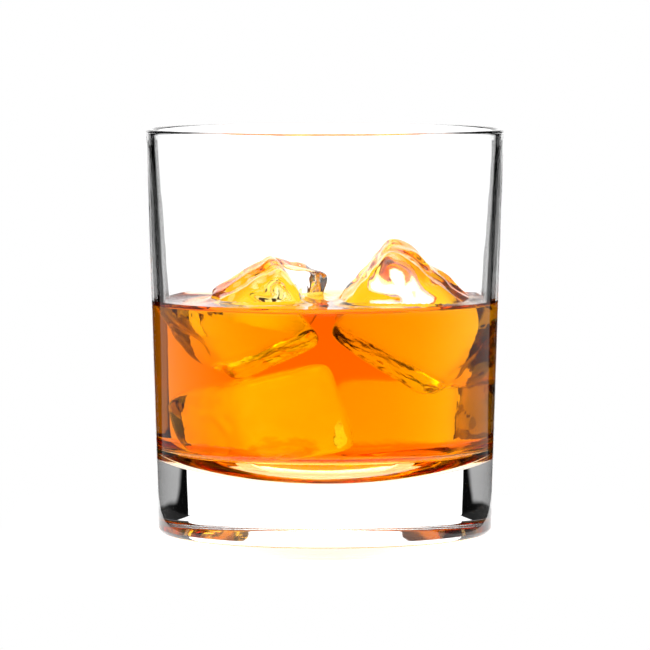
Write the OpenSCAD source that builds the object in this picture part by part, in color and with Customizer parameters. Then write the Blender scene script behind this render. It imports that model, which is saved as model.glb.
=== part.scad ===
/* [Glass] */
// Outer width of the glass at the rim
rim_d = 82; // [74:0.5:90]
// Whole height of the glass
glass_h = 96.6; // [88:0.2:118]
// How much narrower the glass is above the heel than at the rim
taper = 5.7; // [3:0.1:8]
// Wall thickness just below the rim bead
wall_top = 1.9; // [1.4:0.1:2.4]
// Wall thickness where the wall meets the floor
wall_low = 3.7; // [3:0.1:4.6]
// Width of the rounded bead round the rim
bead_d = 2.04; // [2:0.02:2.6]
// Height over which the bead grows out of the wall
bead_neck = 4; // [2:0.1:6]

/* [Base] */
// Thickness of the solid glass base at its middle
base_t = 16.7; // [14:0.1:20]
// Radius of the dished floor of the bowl
floor_round = 87; // [70:1:140]
// Radius of the corner between floor and wall
corner_round = 5; // [4:0.5:7]
// Radius of the rounded heel
heel_round = 1.5; // [1.2:0.1:2.6]
// Height at which the heel runs into the wall
heel_h = 5.8; // [5.4:0.1:8]
// Slope of the belly where it leaves the flat ring, in degrees
belly_low = 16; // [10:0.5:20]
// Slope of the belly where it meets the heel, in degrees
belly_high = 16; // [14:0.5:30]
// Outer radius of the flat ring the glass stands on
foot_r = 22; // [18:0.5:25]
// Width of the flat ring the glass stands on
foot_w = 5; // [3:0.5:7]
// Depth of the hollow inside the flat ring
punt_h = 0.9; // [0.4:0.1:1.6]

/* [Whisky] */
// Depth of the whisky over the middle of the floor
whisky_depth = 39.6; // [32:0.2:48]
// Height the whisky climbs up the wall at its edge
climb_h = 1.4; // [0.8:0.1:2]
// Distance over which the climb fades out
climb_w = 1.5; // [1:0.1:2]
// Clearance between the whisky and the glass
wall_gap = 0.25; // [0.15:0.05:0.4]
// Clearance between the whisky and each ice piece
ice_gap = 0.35; // [0.2:0.05:0.5]

/* [Ice] */
// Edge of an ice cube as a share of the bowl radius
ice_share = 0.613; // [0.5:0.001:0.63]
// Hollow of each ice face as a share of the half edge
ice_dish = 0.06; // [0:0.005:0.08]
// Squareness of the melted cubes
ice_square = 6; // [4:0.5:8]
// Unevenness of the melted cubes
ice_uneven = 0.02; // [0:0.002:0.03]

/* [Hidden] */
// how far the bead stands out of the wall
bead_out = 0.1;
// height of the low end of the wall above the middle of the floor
wall_rise = 10.3;

rim_r = rim_d / 2;
heel_r = (rim_d - taper) / 2;
bead_r = bead_d / 2;
bead_z = glass_h - bead_r;
neck_z = bead_z - bead_neck;
wall_out = rim_r - bead_out;
wall_z = base_t + wall_rise;
level_z = base_t + whisky_depth;
bowl_low = out_r(wall_z) - wall_low;
bowl_top = out_r(neck_z) - wall_top;
bowl_r = in_r(level_z);
ice_edge = ice_share * bowl_r;

// lean of the inner wall and where the corner touches it and the floor
wall_lean = (bowl_top - bowl_low) / (neck_z - wall_z);
floor_up = base_t + floor_round;
corner_far = bowl_low - corner_round * norm([1, wall_lean]) + wall_lean * (floor_up - wall_z);
corner_turn = pow(corner_far, 2) - pow(floor_round - corner_round, 2);
corner_drop = (corner_far * wall_lean
    + sqrt(pow(corner_far * wall_lean, 2) - (1 + wall_lean * wall_lean) * corner_turn))
    / (1 + wall_lean * wall_lean);
corner_r = corner_far - wall_lean * corner_drop;
corner_z = floor_up - corner_drop;
floor_end = atan(corner_r / corner_drop);

// end of the belly on the heel, and how far each end of it is drawn out
belly_end = [heel_r - heel_round + heel_round * sin(belly_high), heel_h - heel_round * cos(belly_high)];
belly_pull = [0.5, 0.2];

// bead arc, from its outer foot over the top to its inner foot
bead_start = -4;
bead_sweep = 188;

// inner end of the slope into the hollow of the foot, as a share of its radius
punt_share = 0.8;

// how far in the climb reaches, in fading distances
climb_reach = 4;

// waves over a melted cube: degrees per unit of direction, start angles, share of the second wave
wave_pitch = [150, 170, 210, 110];
wave_start = [40, 75];
wave_share = 0.6;
// how tightly the hollow of a face keeps to its middle
dish_focus = 12;

// place and size of each ice piece, in cube edges from the axis and the level
left_at = [-0.667, 0.16, -0.124];
left_size = [0.867, 0.98, 0.867];
left_turn = [13, 3, -32];
right_at = [0.75, 0, -0.1];
right_size = [1.1, 1.02, 1.06];
right_turn = [-13, 4, -50];
rear_at = [-0.36, 1.12, 0.054];
rear_size = [0.533, 0.533, 0.533];
rear_turn = [40, 10, 10];

// steps of the curves
belly_steps = 10;
heel_steps = 8;
floor_steps = 12;
corner_steps = 10;
climb_steps = 7;
bead_steps = 16;
ring_count = 17;
round_count = 28;

// outer radius of the wall at a height
function out_r(z) = heel_r + (wall_out - heel_r) * (z - heel_h) / (bead_z - heel_h);

// inner radius of the wall at a height
function in_r(z) = bowl_low + (bowl_top - bowl_low) * (z - wall_z) / (neck_z - wall_z);

// one point of a cubic curve through a and d, drawn towards b and c
function cubic(a, b, c, d, t) =
    pow(1 - t, 3) * a + 3 * t * pow(1 - t, 2) * b + 3 * t * t * (1 - t) * c + pow(t, 3) * d;

// belly from the flat ring out to the heel
function belly_curve() =
    let (w = belly_end[0] - foot_r)
    [for (i = [0 : belly_steps - 1])
        cubic([foot_r, 0],
              [foot_r + belly_pull[0] * w, belly_pull[0] * w * tan(belly_low)],
              belly_end - belly_pull[1] * w * [1, tan(belly_high)],
              belly_end,
              i / belly_steps)];

// rounded heel from the end of the belly up to the wall
function heel_curve() = [for (i = [0 : heel_steps])
    let (a = belly_high + (90 - belly_high) * i / heel_steps)
    [heel_r - heel_round + heel_round * sin(a), heel_h - heel_round * cos(a)]];

// bead from its outer side over the top to its inner side
function bead_curve() = [for (i = [0 : bead_steps])
    let (a = bead_start + bead_sweep * i / bead_steps)
    [rim_r - bead_r + bead_r * cos(a), bead_z + bead_r * sin(a)]];

// bowl from the wall round the corner and over the floor to the axis, set in by a gap
function bowl_curve(gap) = concat(
    [for (i = [0 : corner_steps])
        let (a = 90 + (floor_end - 90) * i / corner_steps)
        [corner_r + (corner_round - gap) * sin(a), corner_z - (corner_round - gap) * cos(a)]],
    [for (i = [1 : floor_steps])
        let (a = floor_end * (1 - i / floor_steps))
        [(floor_round - gap) * sin(a), floor_up - (floor_round - gap) * cos(a)]]);

// top of the whisky from the wall inwards
function climb_curve() = [for (i = [0 : climb_steps])
    let (s = i / climb_steps, w = climb_reach * climb_w * s * s)
    [in_r(level_z) - wall_gap - w, level_z + climb_h * (exp(-w / climb_w) - exp(-climb_reach) * s)]];

// distance from the middle of a melted cube to its skin in the direction v
function skin(v, half, grow) =
    let (p = ice_square,
         n = norm(v),
         d = v / n,
         flat = pow(pow(abs(d[0] / half[0]), p) + pow(abs(d[1] / half[1]), p)
                    + pow(abs(d[2] / half[2]), p), -1 / p),
         m = max(abs(d[0]), abs(d[1]), abs(d[2])),
         wave = sin(wave_pitch[0] * d[0] + wave_start[0]) * sin(wave_pitch[1] * d[1] + wave_start[1])
             + wave_share * sin(wave_pitch[2] * d[2] + wave_pitch[3] * d[0]))
    flat * (1 - ice_dish * pow(m, dish_focus) + ice_uneven * wave) + grow;

// rings of points round a melted cube, from its lower to its upper middle
function cube_points(half, grow) = concat(
    [[0, 0, -skin([0, 0, -1], half, grow)]],
    [for (i = [1 : ring_count])
        let (a = -90 + 180 * i / (ring_count + 1))
        for (j = [0 : round_count - 1])
            let (b = 360 * j / round_count,
                 d = [cos(a) * cos(b), cos(a) * sin(b), sin(a)])
            d * skin(d, half, grow)],
    [[0, 0, skin([0, 0, 1], half, grow)]]);

function at(i, j) = 1 + (i - 1) * round_count + j % round_count;

function cube_faces() = concat(
    [for (j = [0 : round_count - 1]) [0, at(1, j), at(1, j + 1)]],
    [for (i = [1 : ring_count - 1])
        for (j = [0 : round_count - 1])
            [at(i, j), at(i + 1, j), at(i + 1, j + 1)]],
    [for (i = [1 : ring_count - 1])
        for (j = [0 : round_count - 1])
            [at(i, j), at(i + 1, j + 1), at(i, j + 1)]],
    [for (j = [0 : round_count - 1])
        [at(ring_count, j), ring_count * round_count + 1, at(ring_count, j + 1)]]);

module melted_cube(place, size, turn, grow) {
    translate([place[0] * ice_edge, place[1] * ice_edge, level_z + place[2] * ice_edge])
    rotate([0, 0, turn[0]])
    rotate([turn[1], 0, 0])
    rotate([0, turn[2], 0])
    polyhedron(points = cube_points(size * ice_edge / 2, grow), faces = cube_faces());
}

module glass() {
    color([0.93, 0.95, 0.95, 0.4])
    rotate_extrude($fn = 180)
    polygon(concat(
        [[0, punt_h], [(foot_r - foot_w) * punt_share, punt_h], [foot_r - foot_w, 0]],
        belly_curve(),
        heel_curve(),
        [[out_r(neck_z), neck_z]],
        bead_curve(),
        [[in_r(neck_z), neck_z]],
        bowl_curve(0)));
}

module whisky() {
    color([0.86, 0.4, 0.06, 0.8])
    difference() {
        rotate_extrude($fn = 180)
        polygon(concat(
            [[0, level_z]],
            [for (i = [climb_steps : -1 : 0]) climb_curve()[i]],
            bowl_curve(wall_gap)));
        melted_cube(left_at, left_size, left_turn, ice_gap);
        melted_cube(right_at, right_size, right_turn, ice_gap);
        melted_cube(rear_at, rear_size, rear_turn, ice_gap);
    }
}

module ice_left() {
    color([0.95, 0.97, 1, 0.6])
    melted_cube(left_at, left_size, left_turn, 0);
}

module ice_right() {
    color([0.95, 0.97, 1, 0.6])
    melted_cube(right_at, right_size, right_turn, 0);
}

module ice_rear() {
    color([0.95, 0.97, 1, 0.6])
    melted_cube(rear_at, rear_size, rear_turn, 0);
}

glass();
whisky();
ice_left();
ice_right();
ice_rear();
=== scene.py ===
import bpy, bmesh, math
import numpy as np
from mathutils import Vector, Matrix
from mathutils.bvhtree import BVHTree


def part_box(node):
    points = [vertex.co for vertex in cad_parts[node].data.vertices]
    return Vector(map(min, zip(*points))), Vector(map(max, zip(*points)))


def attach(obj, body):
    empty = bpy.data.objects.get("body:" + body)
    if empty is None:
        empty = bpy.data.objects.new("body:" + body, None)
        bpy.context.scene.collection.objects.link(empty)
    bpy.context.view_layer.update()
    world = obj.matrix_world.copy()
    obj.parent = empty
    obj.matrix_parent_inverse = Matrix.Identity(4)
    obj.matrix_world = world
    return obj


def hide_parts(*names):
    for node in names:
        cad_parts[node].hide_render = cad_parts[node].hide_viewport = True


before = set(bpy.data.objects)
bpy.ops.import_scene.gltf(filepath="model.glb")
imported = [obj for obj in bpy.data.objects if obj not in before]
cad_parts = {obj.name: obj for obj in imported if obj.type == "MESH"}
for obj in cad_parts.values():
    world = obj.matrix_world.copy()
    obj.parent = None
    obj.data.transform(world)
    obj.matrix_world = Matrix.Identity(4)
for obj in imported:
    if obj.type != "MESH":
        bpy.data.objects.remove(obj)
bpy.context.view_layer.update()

MM = 0.001

# ---------------------------------------------------------------- sizes of the glass and the drink, mm
glass_lo, glass_hi = [np.array(v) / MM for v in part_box("glass")]
GLASS_H = glass_hi[2] - glass_lo[2]
RIM_R = 41.0                                  # the facets of the frame lie just inside it
HEEL_R, HEEL_H, HEEL_ROUND = 38.15, 5.76, 1.5
BELLY_SLOPE = 15.9                            # degrees, at both ends of the belly
BELLY_PULL = 0.5, 0.2                         # how far each end of the belly is drawn out
FOOT_R, FOOT_W, PUNT = 22.0, 5.0, 0.9
PUNT_SHARE = 0.8
BEAD_R, BEAD_NECK, BEAD_OUT = 1.02, 4.0, 0.1
BEAD_START, BEAD_SWEEP = -4, 188              # degrees, from the outer foot over the top
BEAD_Z = GLASS_H - BEAD_R
NECK_Z = BEAD_Z - BEAD_NECK
WALL_TOP, WALL_LOW, WALL_Z = 1.9, 3.7, 27.0
BASE_T, BOWL_ROUND, CORNER_R = 16.7, 87.0, 5.0
LEVEL = 56.3
CLIMB, CLIMB_W = 1.4, 1.5                     # at the glass
ICE_CLIMB, ICE_CLIMB_W, ICE_REACH = 1.0, 1.3, 8.0
OVER = 0.06                                   # how far a piece reaches into its neighbour


def out_r(z):
    """Outer radius of the wall at a height."""
    return HEEL_R + (RIM_R - BEAD_OUT - HEEL_R) * (z - HEEL_H) / (BEAD_Z - HEEL_H)


BOWL_LOW = out_r(WALL_Z) - WALL_LOW
BOWL_TOP = out_r(NECK_Z) - WALL_TOP


def in_r(z):
    """Inner radius of the wall at a height."""
    return BOWL_LOW + (BOWL_TOP - BOWL_LOW) * (z - WALL_Z) / (NECK_Z - WALL_Z)


EDGE = 0.613 * in_r(LEVEL)                    # edge of an ice cube


# ---------------------------------------------------------------- outlines, as (r, z) points in mm
def line(a, b, n):
    """n points from a towards b, without b."""
    return [(a[0] + (b[0] - a[0]) * i / n, a[1] + (b[1] - a[1]) * i / n) for i in range(n)]


def heel_curve(n=24):
    """Belly from the foot ring out, then the small rounded heel up to the wall."""
    a = math.radians(BELLY_SLOPE)
    cx, cz = HEEL_R - HEEL_ROUND, HEEL_H
    end = (cx + HEEL_ROUND * math.sin(a), cz - HEEL_ROUND * math.cos(a))
    reach = end[0] - FOOT_R
    low, high = [pull * reach for pull in BELLY_PULL]
    knots = ((FOOT_R, 0),
             (FOOT_R + low, low * math.tan(a)),
             (end[0] - high, end[1] - high * math.tan(a)),
             end)
    out = []
    for i in range(n):
        t = i / n
        w = ((1 - t) ** 3, 3 * t * (1 - t) ** 2, 3 * t * t * (1 - t), t ** 3)
        out.append(tuple(sum(w[q] * knots[q][k] for q in range(4)) for k in range(2)))
    for i in range(n + 1):
        b = a + (math.pi / 2 - a) * i / n
        out.append((cx + HEEL_ROUND * math.sin(b), cz - HEEL_ROUND * math.cos(b)))
    return out


def bead_curve(n=32):
    """Rounded rim from its outer side over the top to its inner side."""
    out = []
    for i in range(n + 1):
        a = math.radians(BEAD_START + BEAD_SWEEP * i / n)
        out.append((RIM_R - BEAD_R + BEAD_R * math.cos(a), BEAD_Z + BEAD_R * math.sin(a)))
    return out


def bowl_curve(grow, corner_steps=60, floor_steps=48):
    """Bowl from the foot of the wall round the corner and over the dished floor to the axis.

    Returns the points and the height where the wall meets the corner.
    """
    lean = (BOWL_TOP - BOWL_LOW) / (NECK_Z - WALL_Z)
    up = BASE_T + BOWL_ROUND
    far = BOWL_LOW - CORNER_R * math.hypot(1, lean) + lean * (up - WALL_Z)
    rest = far ** 2 - (BOWL_ROUND - CORNER_R) ** 2
    drop = (far * lean + math.sqrt((far * lean) ** 2 - (1 + lean ** 2) * rest)) / (1 + lean ** 2)
    cx, cz = far - lean * drop, up - drop
    floor_end = math.atan(cx / drop)
    out = []
    for i in range(corner_steps + 1):
        a = math.pi / 2 + (floor_end - math.pi / 2) * i / corner_steps
        out.append((cx + (CORNER_R + grow) * math.sin(a), cz - (CORNER_R + grow) * math.cos(a)))
    for i in range(1, floor_steps):
        a = floor_end * (1 - i / floor_steps)
        out.append(((BOWL_ROUND + grow) * math.sin(a), up - (BOWL_ROUND + grow) * math.cos(a)))
    return out + [(0, BASE_T - grow)], cz


def glass_profile():
    """Whole outline of the glass, from the axis under the foot to the axis in the bowl."""
    punt_end = ((FOOT_R - FOOT_W) * PUNT_SHARE, PUNT)
    ring_in = (FOOT_R - FOOT_W, 0)
    bowl, corner_z = bowl_curve(0)
    return ([(0, PUNT)]
            + line((2, PUNT), punt_end, 10)
            + line(punt_end, ring_in, 8)
            + line(ring_in, (FOOT_R, 0), 8)
            + heel_curve()[:-1]
            + line((HEEL_R, HEEL_H), (out_r(NECK_Z), NECK_Z), 24)
            + bead_curve()
            + line((in_r(NECK_Z), NECK_Z), (in_r(corner_z), corner_z), 24)
            + bowl)


# ---------------------------------------------------------------- meshes
def ring_faces(rings, seg, flip=False):
    """Faces between neighbouring rings of points; a ring of one point is closed with a fan."""
    faces = []
    for a, b in zip(rings, rings[1:]):
        for j in range(seg):
            k = (j + 1) % seg
            if len(a) == 1:
                face = (a[0], b[k], b[j])
            elif len(b) == 1:
                face = (a[j], a[k], b[0])
            else:
                face = (a[j], a[k], b[k], b[j])
            faces.append(face[::-1] if flip else face)
    return faces


def new_mesh(name, points_mm, faces, sharp=None):
    """Smooth mesh with its normals outwards, from points in mm."""
    me = bpy.data.meshes.new(name)
    me.from_pydata([tuple(c * MM for c in v) for v in points_mm], [], faces)
    me.validate()
    bm = bmesh.new()
    bm.from_mesh(me)
    bmesh.ops.recalc_face_normals(bm, faces=bm.faces)
    bm.to_mesh(me)
    bm.free()
    me.polygons.foreach_set("use_smooth", [True] * len(me.polygons))
    if sharp:
        me.set_sharp_from_angle(angle=math.radians(sharp))
    me.update()
    return me


def add(name, me):
    o = bpy.data.objects.new(name, me)
    bpy.context.scene.collection.objects.link(o)
    return o


# ---------------------------------------------------------------- glass
def lathe(name, profile, sharp, seg=288):
    """Turns a profile of (r, z) points in mm round Z."""
    ways = [(math.cos(2 * math.pi * j / seg), math.sin(2 * math.pi * j / seg)) for j in range(seg)]
    points, rings = [], []
    for r, z in profile:
        ring = [(0, 0, z)] if r < 1e-6 else [(r * c, r * s, z) for c, s in ways]
        rings.append(list(range(len(points), len(points) + len(ring))))
        points += ring
    return new_mesh(name, points, ring_faces(rings, seg), sharp)


glass = add("glass_body", lathe("glass_body", glass_profile(), 50))

# ---------------------------------------------------------------- ice
# place and size (mm), turn (degrees), slanted side (axis, side, spread with depth), seed of the waves
ICE = {
    "ice_left": ((-0.6 * EDGE, 0.16 * EDGE, LEVEL - 0.124 * EDGE),
                 (0.8 * EDGE, 0.98 * EDGE, 0.867 * EDGE), (8, 10, -32), (0, -1, 0.05), 0),
    "ice_right": ((0.75 * EDGE, 0, LEVEL - 0.1 * EDGE),
                  (1.1 * EDGE, 1.02 * EDGE, 1.06 * EDGE), (-3, 10, -50), (2, -1, 0.2), 50),
    "ice_rear": ((-0.36 * EDGE, 1.12 * EDGE, LEVEL + 0.054 * EDGE),
                 (0.533 * EDGE, 0.533 * EDGE, 0.533 * EDGE), (40, 10, 10), (0, 1, 0), 20),
    "ice_sunk_left": ((-6.6, -9.5, 32.2), (20.5, 34.0, 21.0), (2, -3, -16), (0, -1, 0.28), 30),
    "ice_sunk_right": ((11.5, 12.0, 29.6), (21.0, 24.0, 20.5), (0, 0, 2), (0, 1, 0), 75),
}
SUNK = ("ice_sunk_left", "ice_sunk_right")
ICE_STEPS = 44
DISH, DISH_FOCUS, SQUARE = 0.06, 12, 7.0
# waves over the skin, as height and length in mm: all over, mostly on the slanted side, above the level
SWELL, SWELL_LEN = 0.35, 15.0
RIPPLE, RIPPLE_LEN, RIPPLE_LEAST = 0.22, 6.5, 0.3
MELT, MELT_LEN, MELT_FADE = 0.5, 8.0, 3.0
# room that sunk ice keeps from the axis to the corner of the bowl, and over the floor
SUNK_R, FLOOR_ROOM = 32.0, 0.5


def cube_sphere(n):
    """Unit directions and quads of an even cube-sphere with shared edge points."""
    t = np.tan(np.linspace(-math.pi / 4, math.pi / 4, n + 1))
    t[0], t[-1] = -1, 1
    known, points, quads = {}, [], []
    for axis in range(3):
        for side in (-1, 1):
            idx = np.empty((n + 1, n + 1), int)
            for i in range(n + 1):
                for j in range(n + 1):
                    v = [0, 0, 0]
                    v[axis] = side
                    v[(axis + 1) % 3] = t[i]
                    v[(axis + 2) % 3] = t[j]
                    spot = tuple(round(c, 6) for c in v)
                    if spot not in known:
                        known[spot] = len(points)
                        points.append(v)
                    idx[i, j] = known[spot]
            for i in range(n):
                for j in range(n):
                    q = (idx[i, j], idx[i + 1, j], idx[i + 1, j + 1], idx[i, j + 1])
                    quads.append(tuple(int(c) for c in (q if side > 0 else q[::-1])))
    d = np.array(points, float)
    return d / np.linalg.norm(d, axis=1, keepdims=True), quads


DIRS, QUADS = cube_sphere(ICE_STEPS)


def turn(yaw, pitch, roll):
    return np.array(Matrix.Rotation(math.radians(yaw), 3, "Z")
                    @ Matrix.Rotation(math.radians(pitch), 3, "X")
                    @ Matrix.Rotation(math.radians(roll), 3, "Y"))


def waves(p, length, seed):
    """Smooth unevenness between -1 and 1 at each row of p."""
    x, y, z = (p * (2 * math.pi / length)).T
    t = math.radians(seed)
    return (0.6 * np.sin(x + 1.3 * np.sin(0.7 * y + t) + t) * np.sin(z + 1.1 * np.sin(0.8 * x - t))
            + 0.4 * np.sin(y + 0.9 * np.sin(0.6 * z + 2 * t)))


def clear_of_bowl(p):
    """Draws points in from the corner of the bowl and up over its dished floor."""
    r = np.hypot(p[:, 0], p[:, 1])
    p[:, :2] *= np.minimum(1, SUNK_R / np.maximum(r, 1e-6))[:, None]
    r = np.minimum(r, SUNK_R)
    floor_z = BASE_T + BOWL_ROUND - np.sqrt(BOWL_ROUND ** 2 - r ** 2) + FLOOR_ROOM
    p[:, 2] = np.maximum(p[:, 2], floor_z)


def ice_mesh(name, key, grow):
    """Melted cube: rounded, dished, uneven and wider to the back on its slanted side."""
    place, size, angles, (axis, side, spread), seed = ICE[key]
    half = np.array(size) / 2
    turned = turn(*angles)
    flat = (np.abs(DIRS / half) ** SQUARE).sum(1) ** (-1 / SQUARE)
    skin = flat * (1 - DISH * np.abs(DIRS).max(1) ** DISH_FOCUS) + grow
    p = DIRS * skin[:, None]
    share = np.clip(0.5 + 0.5 * side * p[:, axis] / half[axis], 0, 1)
    rough = RIPPLE_LEAST + (1 - RIPPLE_LEAST) * share ** 2 if spread else RIPPLE_LEAST
    above = np.clip(((p @ turned.T)[:, 2] + place[2] - LEVEL + 1) / MELT_FADE, 0, 1)
    uneven = (SWELL * waves(p, SWELL_LEN, seed)
              + RIPPLE * rough * waves(p, RIPPLE_LEN, 2 * seed)
              + MELT * above * waves(p, MELT_LEN, seed + 40))
    p = p + DIRS * uneven[:, None]
    p[:, axis] += side * spread * (p[:, 1] + half[1]) * share
    p = p @ turned.T + np.array(place)
    if key in SUNK:
        clear_of_bowl(p)
    return new_mesh(name, p, QUADS)


ice = {k: add(k + "_cube", ice_mesh(k + "_cube", k, 0)) for k in ICE}


# ---------------------------------------------------------------- whisky
def whisky_mesh(seg=240, rings=80):
    """Body of the drink, with a fine top that climbs at the wall and at the ice."""
    shores = []
    for k in ICE:
        if k not in SUNK:
            m = ice[k].data
            shores.append(BVHTree.FromPolygons([v.co / MM for v in m.vertices],
                                               [tuple(p.vertices) for p in m.polygons]))
    wall_r = in_r(LEVEL + CLIMB)

    def top_z(x, y, r):
        z = LEVEL + CLIMB * math.exp(-max(wall_r - r, 0) / CLIMB_W)
        for tree in shores:
            hit = tree.find_nearest(Vector((x, y, LEVEL + 0.4)), ICE_REACH)
            if hit[0] is not None:
                z += ICE_CLIMB * math.exp(-hit[3] / ICE_CLIMB_W)
        return z

    points, idx = [(0, 0, top_z(0, 0, 0))], [[0]]

    def add_ring(r, height):
        idx.append(list(range(len(points), len(points) + seg)))
        for j in range(seg):
            a = 2 * math.pi * j / seg
            x, y = r * math.cos(a), r * math.sin(a)
            points.append((x, y, height(x, y, r)))

    for i in range(1, rings + 1):
        add_ring((wall_r + OVER) * (i / rings) ** 0.8, top_z)
    bowl, corner_z = bowl_curve(OVER)
    side = line((in_r(LEVEL) + OVER, LEVEL), (in_r(corner_z) + OVER, corner_z), 12) + bowl
    for r, z in side[:-1]:
        add_ring(r, lambda x, y, r, z=z: z)
    idx.append([len(points)])
    points.append((0, 0, BASE_T - OVER))
    return new_mesh("whisky_body", points, ring_faces(idx, seg, flip=True))


def cut_out(body, cutter):
    """Takes the cutter's shape out of the body and drops the cutter."""
    mod = body.modifiers.new("cut", "BOOLEAN")
    mod.operation = "DIFFERENCE"
    mod.solver = "MANIFOLD"
    mod.object = cutter
    done = bpy.data.meshes.new_from_object(body.evaluated_get(bpy.context.evaluated_depsgraph_get()))
    body.modifiers.clear()
    old = body.data
    body.data = done
    bpy.data.meshes.remove(old)
    done.name = body.name
    bpy.data.objects.remove(cutter)


whisky = add("whisky_body", whisky_mesh())
for k in ICE:
    cut_out(whisky, add("cut", ice_mesh("cut", k, -OVER)))
whisky.data.polygons.foreach_set("use_smooth", [True] * len(whisky.data.polygons))
whisky.data.set_sharp_from_angle(angle=math.radians(35))


# ---------------------------------------------------------------- node helpers
def math_node(nt, op, a, b=None):
    n = nt.nodes.new("ShaderNodeMath")
    n.operation = op
    for i, v in enumerate((a, b)):
        if isinstance(v, (int, float)):
            n.inputs[i].default_value = v
        elif v is not None:
            nt.links.new(v, n.inputs[i])
    return n.outputs[0]


def ramp(nt, v, lo, hi, a, b):
    """Smooth step from a at lo to b at hi."""
    n = nt.nodes.new("ShaderNodeMapRange")
    n.interpolation_type = "SMOOTHSTEP"
    nt.links.new(v, n.inputs["Value"])
    for key, value in (("From Min", lo), ("From Max", hi), ("To Min", a), ("To Max", b)):
        n.inputs[key].default_value = value
    return n.outputs["Result"]


def axes(nt, vec):
    """The three parts of a vector socket."""
    n = nt.nodes.new("ShaderNodeSeparateXYZ")
    nt.links.new(vec, n.inputs[0])
    return n.outputs["X"], n.outputs["Y"], n.outputs["Z"]


def height_on(nt):
    """Height of the shaded point, in metres."""
    return axes(nt, nt.nodes.new("ShaderNodeNewGeometry").outputs["Position"])[2]


def off_axis(nt, x, y):
    """Compass angle of a direction away from the line that runs from front to back, 0 to 90 degrees."""
    turned = math_node(nt, "ARCTAN2", math_node(nt, "ABSOLUTE", x), math_node(nt, "ABSOLUTE", y))
    return math_node(nt, "MULTIPLY", turned, 180 / math.pi)


# ---------------------------------------------------------------- materials
GLASS_IOR, WHISKY_IOR, ICE_IOR = 1.5, 1.36, 1.49
# mirror light of the glass: full in the base, none beside the drink, weak above it
BASE_SHINE_END, DRINK_SHINE_START, WALL_SHINE = 0.018, 0.021, 0.3
ICE_SHINE = 0.6
WHISKY_COLOR, WHISKY_DENSITY = (0.985, 0.868, 0.0, 1), 250.0
# painted shade: the drink's skin over the floor of the bowl tints the light through it a deeper orange
FLOOR_SHADE_COLOR, FLOOR_SHADE_Z = (1.0, 0.5, 0.03, 1), (0.0235, 0.0250)
WHITE = (1, 1, 1, 1)


def clear_material(name, ior, shine):
    m = bpy.data.materials.new(name)
    m.use_nodes = True
    b = m.node_tree.nodes["Principled BSDF"]
    b.inputs["Base Color"].default_value = WHITE
    b.inputs["Roughness"].default_value = 0.0
    b.inputs["IOR"].default_value = ior
    b.inputs["Transmission Weight"].default_value = 1.0
    b.inputs["Specular Tint"].default_value = (shine, shine, shine, 1)
    return m, m.node_tree, b


def relief(nt, shader, size, strength, depth):
    """Fine unevenness of a surface: noise by place on the object, as a bump; sizes in metres."""
    place = nt.nodes.new("ShaderNodeTexCoord")
    noise = nt.nodes.new("ShaderNodeTexNoise")
    noise.inputs["Scale"].default_value = 1 / size
    noise.inputs["Detail"].default_value = 2.0
    bump = nt.nodes.new("ShaderNodeBump")
    bump.inputs["Strength"].default_value = strength
    bump.inputs["Distance"].default_value = depth
    nt.links.new(place.outputs["Object"], noise.inputs["Vector"])
    nt.links.new(noise.outputs["Fac"], bump.inputs["Height"])
    nt.links.new(bump.outputs["Normal"], shader.inputs["Normal"])


def glass_material():
    m, nt, shader = clear_material("clear_glass", GLASS_IOR, WALL_SHINE)
    z = height_on(nt)
    low = ramp(nt, z, BASE_SHINE_END, DRINK_SHINE_START, 1.0, 0.0)
    high = ramp(nt, z, (LEVEL - 1) * MM, (LEVEL + 1) * MM, 0.0, WALL_SHINE)
    nt.links.new(math_node(nt, "MAXIMUM", low, high), shader.inputs["Specular Tint"])
    relief(nt, shader, 0.012, 0.12, 0.0002)
    return m


def whisky_material():
    m, nt, shader = clear_material("whisky", WHISKY_IOR, 0.0)
    # painted shade: a deeper orange tint on the drink's skin below a height over the floor of the bowl
    floor_shade = nt.nodes.new("ShaderNodeMix")
    floor_shade.data_type = "RGBA"
    nt.links.new(ramp(nt, height_on(nt), *FLOOR_SHADE_Z, 1.0, 0.0), floor_shade.inputs[0])
    floor_shade.inputs[6].default_value = WHITE
    floor_shade.inputs[7].default_value = FLOOR_SHADE_COLOR
    nt.links.new(floor_shade.outputs[2], shader.inputs["Base Color"])
    depth = nt.nodes.new("ShaderNodeVolumeAbsorption")
    depth.inputs["Color"].default_value = WHISKY_COLOR
    depth.inputs["Density"].default_value = WHISKY_DENSITY
    nt.links.new(depth.outputs[0], nt.nodes["Material Output"].inputs["Volume"])
    return m


def ice_material():
    m, nt, shader = clear_material("ice", ICE_IOR, ICE_SHINE)
    relief(nt, shader, 0.004, 0.2, 0.0005)
    return m


glass.data.materials.append(glass_material())
whisky.data.materials.clear()
whisky.data.materials.append(whisky_material())
mat_ice = ice_material()
for o in ice.values():
    o.data.materials.append(mat_ice)

# ---------------------------------------------------------------- studio light, sizes in metres, angles in degrees
# The camera sees plain white; what the glass bends and mirrors is a lit card behind it,
# a softly lit table and wide screens overhead, with dark gaps that draw the edges of the glass.
CARD_Y, CARD_W, CARD_H, CARD = 0.131, 0.077, 0.15, 1.4
SCREEN, DARK = 1.5, 0.02
LOW_LOBE, HIGH_LOBE, LOBE_Z = 20.0, 50.0, (0.6, 0.7)
FRONT, FRONT_Y = 0.6, (-0.1, -0.06)
SIDE_ANGLE, SIDE_LOW, SIDE_HIGH = (74, 77), 0.15, 0.5
LOW_Z = 0.12, 0.4
DIM, DIM_FROM, DIM_TO = 0.3, (0.13, 0.22), (0.5, 0.62)
OVERHEAD, OVERHEAD_Z = 4.0, (0.78, 0.92)
NEAR, NEAR_R = 2.2, (0.05, 0.09)
AROUND, AROUND_ANGLE, AROUND_R = 0.5, (40.0, 44.0), (0.21, 0.25)


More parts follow.
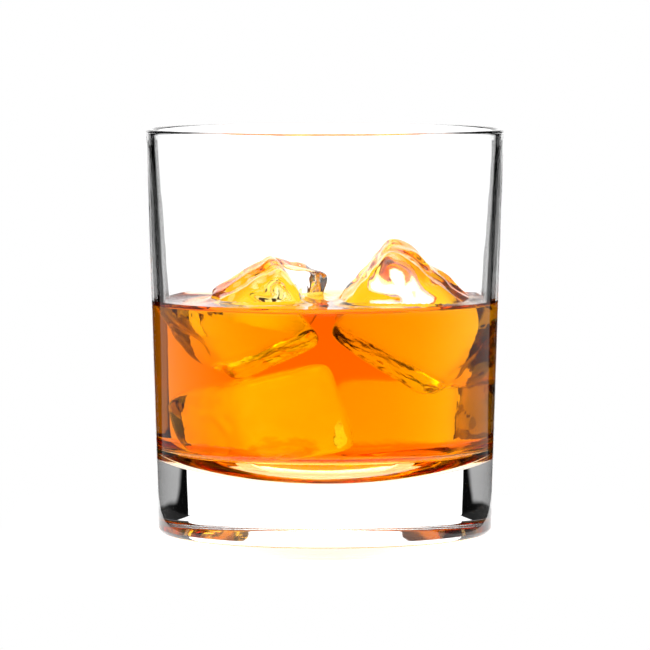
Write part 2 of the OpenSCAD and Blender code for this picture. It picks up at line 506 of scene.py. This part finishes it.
def studio_light(nt, way):
    """Brightness of the studio by direction: narrow and low behind the glass, wide and strong overhead."""
    x, y, z = axes(nt, way)
    a = off_axis(nt, x, y)
    past = math_node(nt, "SUBTRACT", a, ramp(nt, z, *LOBE_Z, LOW_LOBE, HIGH_LOBE))
    screen = ramp(nt, past, -1.5, 1.5, SCREEN, DARK)
    behind = ramp(nt, y, -0.1, 0.1, 0.0, 1.0)
    front = math_node(nt, "MAXIMUM", behind, ramp(nt, z, *LOW_Z, 0.03, FRONT))
    side = math_node(nt, "MULTIPLY", ramp(nt, a, *SIDE_ANGLE, 0.0, 1.0), ramp(nt, z, *LOW_Z, SIDE_LOW, SIDE_HIGH))
    light = math_node(nt, "ADD", math_node(nt, "MULTIPLY", screen, front), side)
    middle = math_node(nt, "MAXIMUM", ramp(nt, z, *DIM_FROM, 1.0, DIM), ramp(nt, z, *DIM_TO, 0.0, 1.0))
    by_height = math_node(nt, "MULTIPLY", ramp(nt, z, *OVERHEAD_Z, 1.0, OVERHEAD), middle)
    return math_node(nt, "MULTIPLY", light, by_height)


def table_light(nt, place):
    """Brightness of the table: a lit strip up to the card, a bright spot under the glass, grey all round."""
    x, y, _ = axes(nt, place)
    length = nt.nodes.new("ShaderNodeVectorMath")
    length.operation = "LENGTH"
    nt.links.new(place, length.inputs[0])
    r = length.outputs["Value"]
    strip = ramp(nt, math_node(nt, "ABSOLUTE", x), CARD_W - 0.001, CARD_W + 0.001, CARD, DARK)
    strip = math_node(nt, "MULTIPLY", strip, ramp(nt, y, CARD_Y, CARD_Y + 0.01, 1.0, 0.05))
    strip = math_node(nt, "MULTIPLY", strip, ramp(nt, y, *FRONT_Y, FRONT, 1.0))
    near = ramp(nt, r, *NEAR_R, NEAR, 0.0)
    aside = math_node(nt, "MAXIMUM", ramp(nt, off_axis(nt, x, y), *AROUND_ANGLE, 0.0, AROUND),
                      ramp(nt, y, *FRONT_Y, AROUND, 0.0))
    around = math_node(nt, "MULTIPLY", aside, ramp(nt, r, *AROUND_R, 0.0, 1.0))
    return math_node(nt, "MAXIMUM", math_node(nt, "MAXIMUM", strip, around), near)


def white_for_camera(nt, light):
    """At least full white where the camera looks straight at it."""
    return math_node(nt, "MAXIMUM", light, nt.nodes.new("ShaderNodeLightPath").outputs["Is Camera Ray"])


def glow_material(name):
    """Material that only gives light; returns it with its tree and its emission node."""
    m = bpy.data.materials.new(name)
    m.use_nodes = True
    nt = m.node_tree
    nt.nodes.clear()
    em = nt.nodes.new("ShaderNodeEmission")
    nt.links.new(em.outputs[0], nt.nodes.new("ShaderNodeOutputMaterial").inputs["Surface"])
    return m, nt, em


def flat_piece(name, points, material):
    """Stage piece with one four-sided face."""
    me = bpy.data.meshes.new(name)
    me.from_pydata(points, [], [(0, 1, 2, 3)])
    me.materials.append(material)
    return add(name, me)


world = bpy.data.worlds.new("studio")
bpy.context.scene.world = world
world.use_nodes = True
sky = world.node_tree
bg = sky.nodes["Background"]
bg.inputs["Color"].default_value = WHITE
way = sky.nodes.new("ShaderNodeTexCoord").outputs["Generated"]
sky.links.new(white_for_camera(sky, studio_light(sky, way)), bg.inputs["Strength"])

TABLE, UNDER = 20.0, 0.0003
mat, nt, em = glow_material("floor")
spot = nt.nodes.new("ShaderNodeNewGeometry").outputs["Position"]
nt.links.new(white_for_camera(nt, table_light(nt, spot)), em.inputs["Strength"])
CORNERS = ((-1, -1), (1, -1), (1, 1), (-1, 1))
floor = flat_piece("floor", [(x * TABLE, y * TABLE, -UNDER) for x, y in CORNERS], mat)

mat, nt, em = glow_material("light_card")
em.inputs["Strength"].default_value = CARD
card = flat_piece("light_card", [(x * CARD_W, CARD_Y, (y + 1) / 2 * CARD_H) for x, y in CORNERS], mat)
card.visible_camera = False

# ---------------------------------------------------------------- camera
DIST = 1.3                  # metres in front of the axis
RIM_TAN = 0.0305            # slope at which it looks down on the rim
FRAME_W = 0.14806           # width of the picture at the axis, metres
RIM_UP = 0.04476            # height of the rim over the middle of the picture, metres

cd = bpy.data.cameras.new("camera")
cd.lens = cd.sensor_width * DIST / FRAME_W
cd.clip_end = 100
cam = bpy.data.objects.new("camera", cd)
bpy.context.scene.collection.objects.link(cam)
cam.location = (0, -DIST, GLASS_H * MM + DIST * RIM_TAN)
tilt = math.atan(RIM_UP / DIST) + math.atan(RIM_TAN)
cam.rotation_euler = (math.pi / 2 - tilt, 0, 0)
bpy.context.scene.camera = cam

sc = bpy.context.scene
sc.view_settings.view_transform = "Standard"
sc.cycles.max_bounces = 32
sc.cycles.transmission_bounces = 32
sc.cycles.glossy_bounces = 16
sc.cycles.transparent_max_bounces = 16
sc.cycles.volume_bounces = 0
sc.cycles.caustics_refractive = True
sc.cycles.caustics_reflective = True

# ---------------------------------------------------------------- onto the body, in place of the CAD parts
for o, n in ((glass, "glass"), (whisky, "whisky"), (ice["ice_left"], "ice_left"),
             (ice["ice_right"], "ice_right"), (ice["ice_rear"], "ice_rear")):
    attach(o, "root")
    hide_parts(n)
for k in SUNK:
    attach(ice[k], "root")
bpy.context.view_layer.update()
